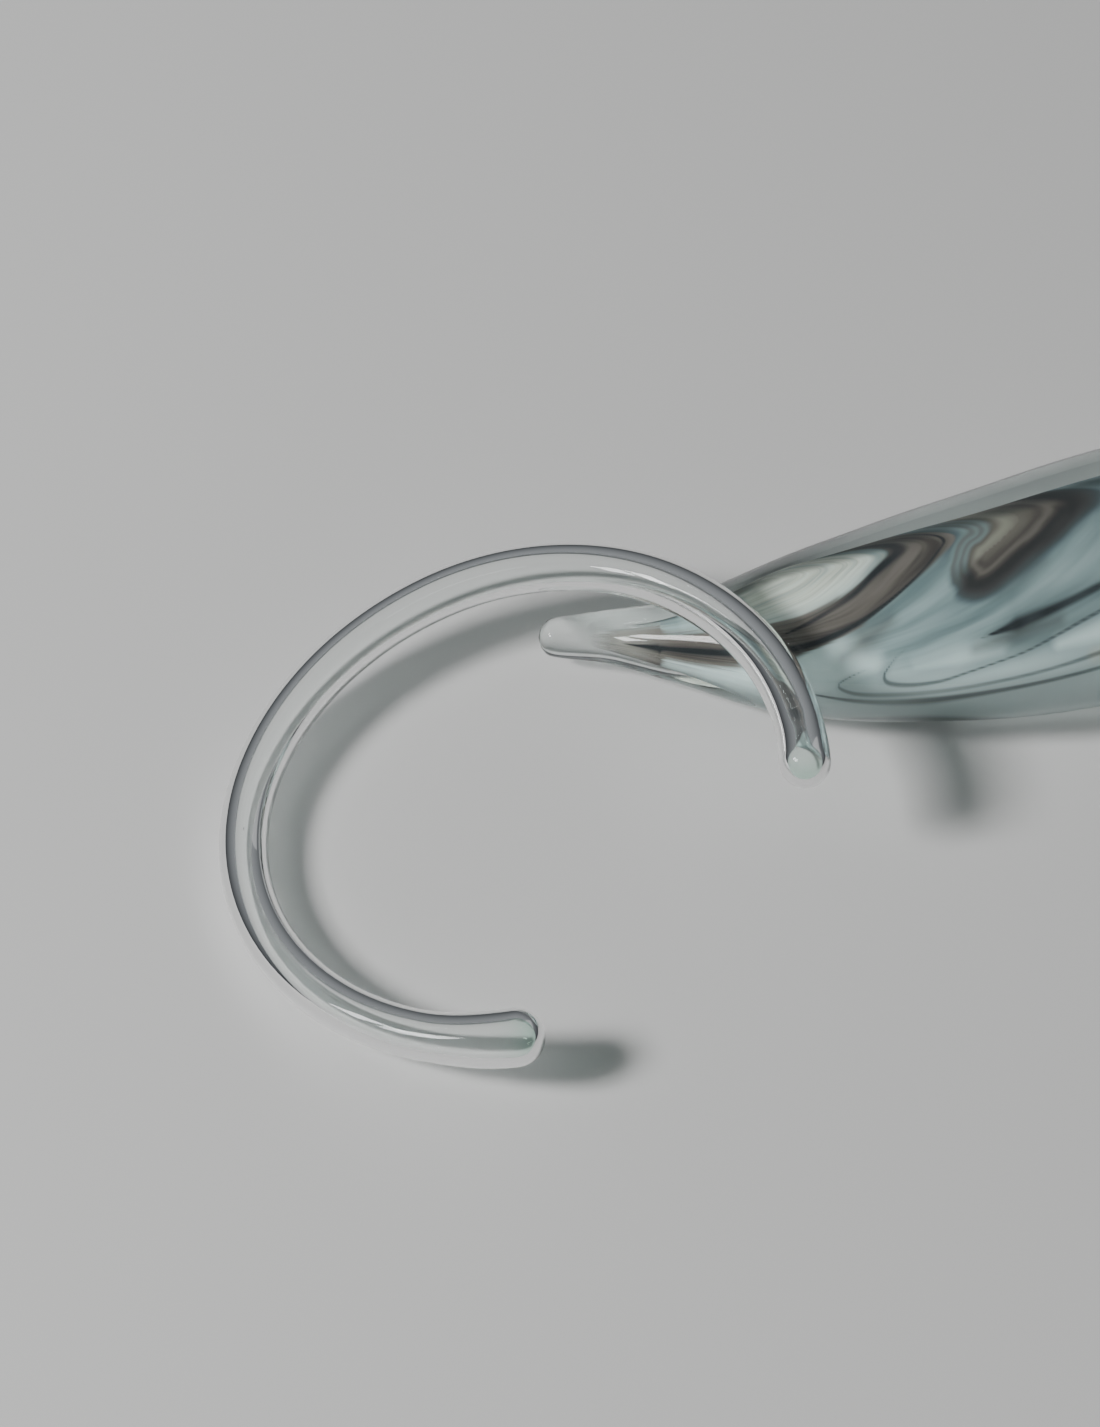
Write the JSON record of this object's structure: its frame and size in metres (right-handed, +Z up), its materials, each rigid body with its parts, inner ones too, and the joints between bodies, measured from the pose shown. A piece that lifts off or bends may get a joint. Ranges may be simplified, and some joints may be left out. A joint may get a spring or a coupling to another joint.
{
  "type": "glass open ring on a marbled glass leaf",
  "caption": "Clear glass rod bent into an open ring with rounded ends, leaning on a tapered marbled glass leaf that is cased in clear glass.",
  "frame": {"origin": "on the resting surface, in the middle of the leaf's ground flat, under its widest place", "axes": "+X from the leaf's clear nub towards its tail, +Z up from the resting surface"},
  "size_m": [0.1762, 0.1011, 0.0215],
  "materials": {
    "ring_glass": "clear, faintly green, fire polished",
    "casing_glass": "clear, fire polished",
    "marbled_glass": "opal blue-grey with brown and black streaks, glossy"
  },
  "bodies": {
    "leaf": {"leaf_clear_casing": "casing_glass", "leaf_marbled_core": "marbled_glass"},
    "ring": {"clear_open_ring": "ring_glass"}
  },
  "joints": [
    {"name": "ring_lift", "type": "slide", "parent": "leaf", "child": "ring", "axis": [0, 0, 1], "range_m": [0, 0.06]}
  ]
}
